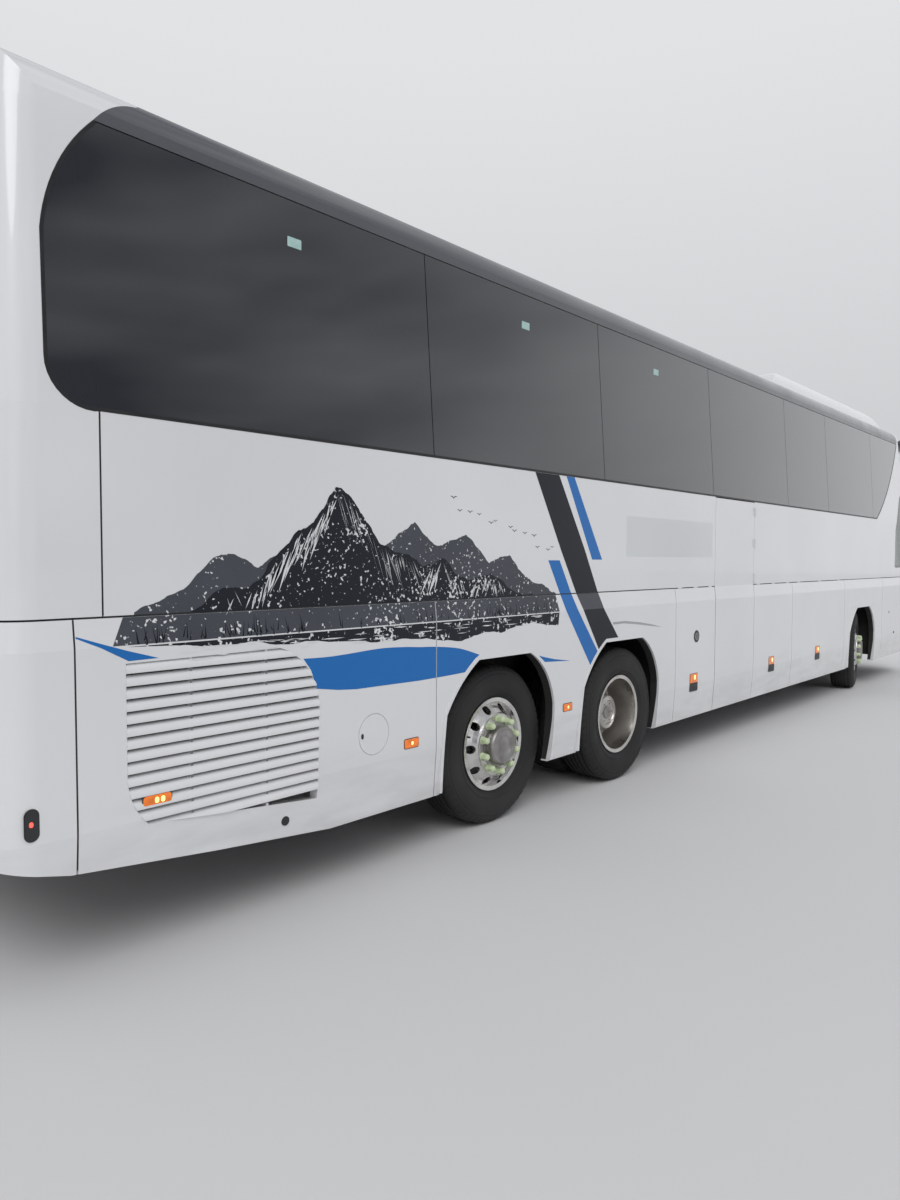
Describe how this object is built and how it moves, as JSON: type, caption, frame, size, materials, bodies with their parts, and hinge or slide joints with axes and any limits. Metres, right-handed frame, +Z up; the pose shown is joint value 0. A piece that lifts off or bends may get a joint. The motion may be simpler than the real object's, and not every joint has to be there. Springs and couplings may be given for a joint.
{
  "type": "three-axle coach bus",
  "caption": "Long high-deck touring coach on three axles with a dark glass band, hinged doors, luggage flaps and a roof unit.",
  "frame": {"origin": "middle of the coach on the ground, below the centre of its overall box", "axes": "+X forward, +Y to the left-hand side, +Z up"},
  "size_m": [14.1, 2.553, 3.8683],
  "materials": {
    "white_paint": "gloss",
    "dark_glass": "tinted gloss",
    "clear_glass": "clear gloss",
    "cantrail_dark": "gloss",
    "frame_dark": "satin",
    "dark_plastic": "matte",
    "interior_grey": "matte",
    "seat_fabric": "woven",
    "tyre": "rubber",
    "wheel_alloy": "polished",
    "axle_iron": "rough",
    "lamp_lens": "gloss",
    "headlamp_lens": "gloss"
  },
  "bodies": {
    "body": {"frame": "frame_dark", "cabin_floor": "interior_grey", "luggage_floor": "frame_dark", "bulkheads": "frame_dark", "wheel_tubs": "frame_dark", "rear_steps": "interior_grey", "front_platform": "interior_grey", "dashboard": "dark_plastic", "seats": "seat_fabric", "engine": "axle_iron", "radiators": "frame_dark", "propeller_shaft": "axle_iron", "tag_axle": "axle_iron", "drive_axle": "axle_iron", "front_axle": "axle_iron", "side_wall_right": "white_paint", "side_wall_left": "white_paint", "side_glass": "dark_glass", "cantrails": "cantrail_dark", "driver_window": "dark_glass", "roof": "white_paint", "roof_unit": "white_paint", "rear_wall": "white_paint", "rear_window": "dark_glass", "rear_bumper": "white_paint", "tail_lamps": "lamp_lens", "front_panel": "white_paint", "windscreen": "clear_glass", "front_bumper": "white_paint", "headlamps": "headlamp_lens", "mirrors": "dark_plastic", "lower_panels_right": "white_paint", "lower_panels_left": "white_paint", "engine_grilles": "white_paint"},
    "flap_right_rear": {"flap_right_rear": "white_paint"},
    "flap_right_middle": {"flap_right_middle": "white_paint"},
    "flap_right_front": {"flap_right_front": "white_paint"},
    "flap_left_rear": {"flap_left_rear": "white_paint"},
    "flap_left_middle": {"flap_left_middle": "white_paint"},
    "flap_left_front": {"flap_left_front": "white_paint"},
    "engine_lid": {"engine_lid": "white_paint"},
    "emergency_door": {"emergency_door": "white_paint"},
    "passenger_door": {"passenger_door": "white_paint", "passenger_door_glass": "dark_glass"},
    "passenger_door_arm": {"passenger_door_arm": "axle_iron"},
    "steering_wheel": {"steering_wheel": "dark_plastic"},
    "knuckle_left": {"knuckle_left": "axle_iron"},
    "tag_wheel_left": {"tag_tyre_left": "tyre", "tag_wheel_left": "wheel_alloy"},
    "drive_wheels_left": {"drive_tyres_left": "tyre", "drive_wheel_left": "wheel_alloy"},
    "front_wheel_left": {"front_tyre_left": "tyre", "front_wheel_left": "wheel_alloy"},
    "knuckle_right": {"knuckle_right": "axle_iron"},
    "tag_wheel_right": {"tag_tyre_right": "tyre", "tag_wheel_right": "wheel_alloy"},
    "drive_wheels_right": {"drive_tyres_right": "tyre", "drive_wheel_right": "wheel_alloy"},
    "front_wheel_right": {"front_tyre_right": "tyre", "front_wheel_right": "wheel_alloy"}
  },
  "joints": [
    {"name": "tag_spin_left", "type": "hinge", "parent": "body", "child": "tag_wheel_left", "pos_m": [-3.92, 1.031, 0.515], "axis": [0, 1, 0], "continuous": true},
    {"name": "drive_spin_left", "type": "hinge", "parent": "body", "child": "drive_wheels_left", "pos_m": [-2.42, 0.916, 0.515], "axis": [0, 1, 0], "continuous": true},
    {"name": "tag_spin_right", "type": "hinge", "parent": "body", "child": "tag_wheel_right", "pos_m": [-3.92, -1.031, 0.515], "axis": [0, 1, 0], "continuous": true},
    {"name": "drive_spin_right", "type": "hinge", "parent": "body", "child": "drive_wheels_right", "pos_m": [-2.42, -0.916, 0.515], "axis": [0, 1, 0], "continuous": true},
    {"name": "steer_left", "type": "hinge", "parent": "body", "child": "knuckle_left", "pos_m": [3.94, 0.87, 0.515], "axis": [0, 0, 1], "range_deg": [-54, 30]},
    {"name": "steer_right", "type": "hinge", "parent": "body", "child": "knuckle_right", "pos_m": [3.94, -0.87, 0.515], "axis": [0, 0, 1], "range_deg": [-54, 30]},
    {"name": "front_spin_left", "type": "hinge", "parent": "knuckle_left", "child": "front_wheel_left", "pos_m": [3.90653, 1.02748, 0.515], "axis": [-0.2079, 0.9781, 0], "continuous": true},
    {"name": "front_spin_right", "type": "hinge", "parent": "knuckle_right", "child": "front_wheel_right", "pos_m": [3.97347, -1.02748, 0.515], "axis": [-0.2079, 0.9781, 0], "continuous": true},
    {"name": "steering_wheel_turn", "type": "hinge", "parent": "body", "child": "steering_wheel", "pos_m": [5.85, -0.69, 1.5], "axis": [-0.5, 0, 0.866], "range_deg": [-756, 420]},
    {"name": "flap_right_rear_hinge", "type": "hinge", "parent": "body", "child": "flap_right_rear", "pos_m": [-1.177, -1.258, 1.47], "axis": [-1, 0, 0], "range_deg": [0, 95]},
    {"name": "flap_right_middle_hinge", "type": "hinge", "parent": "body", "child": "flap_right_middle", "pos_m": [0.682, -1.258, 1.47], "axis": [-1, 0, 0], "range_deg": [0, 95]},
    {"name": "flap_right_front_hinge", "type": "hinge", "parent": "body", "child": "flap_right_front", "pos_m": [2.163, -1.258, 1.47], "axis": [-1, 0, 0], "range_deg": [0, 95]},
    {"name": "flap_left_rear_hinge", "type": "hinge", "parent": "body", "child": "flap_left_rear", "pos_m": [-0.794, 1.258, 1.47], "axis": [1, 0, 0], "range_deg": [0, 95]},
    {"name": "flap_left_middle_hinge", "type": "hinge", "parent": "body", "child": "flap_left_middle", "pos_m": [0.764, 1.258, 1.47], "axis": [1, 0, 0], "range_deg": [0, 95]},
    {"name": "flap_left_front_hinge", "type": "hinge", "parent": "body", "child": "flap_left_front", "pos_m": [2.321, 1.258, 1.47], "axis": [1, 0, 0], "range_deg": [0, 95]},
    {"name": "engine_lid_hinge", "type": "hinge", "parent": "body", "child": "engine_lid", "pos_m": [-7.038, 0, 1.47], "axis": [0, 1, 0], "range_deg": [0, 80]},
    {"name": "emergency_door_hinge", "type": "hinge", "parent": "body", "child": "emergency_door", "pos_m": [0.137, -1.272, 1.3], "axis": [0, 0, 1], "range_deg": [0, 88]},
    {"name": "door_arm_swing", "type": "hinge", "parent": "body", "child": "passenger_door_arm", "pos_m": [5.87, 1.15, 0.76], "axis": [0, 0, -1], "range_deg": [0, 115]},
    {"name": "door_swing", "type": "hinge", "parent": "passenger_door_arm", "child": "passenger_door", "pos_m": [5.31, 1.15, 0.76], "axis": [0, 0, -1], "range_deg": [-115, 0]}
  ],
  "couplings": [
    {"joint": "steer_right", "follows": "steer_left", "ratio": 1},
    {"joint": "steering_wheel_turn", "follows": "steer_left", "ratio": 14},
    {"joint": "door_swing", "follows": "door_arm_swing", "ratio": -1}
  ]
}
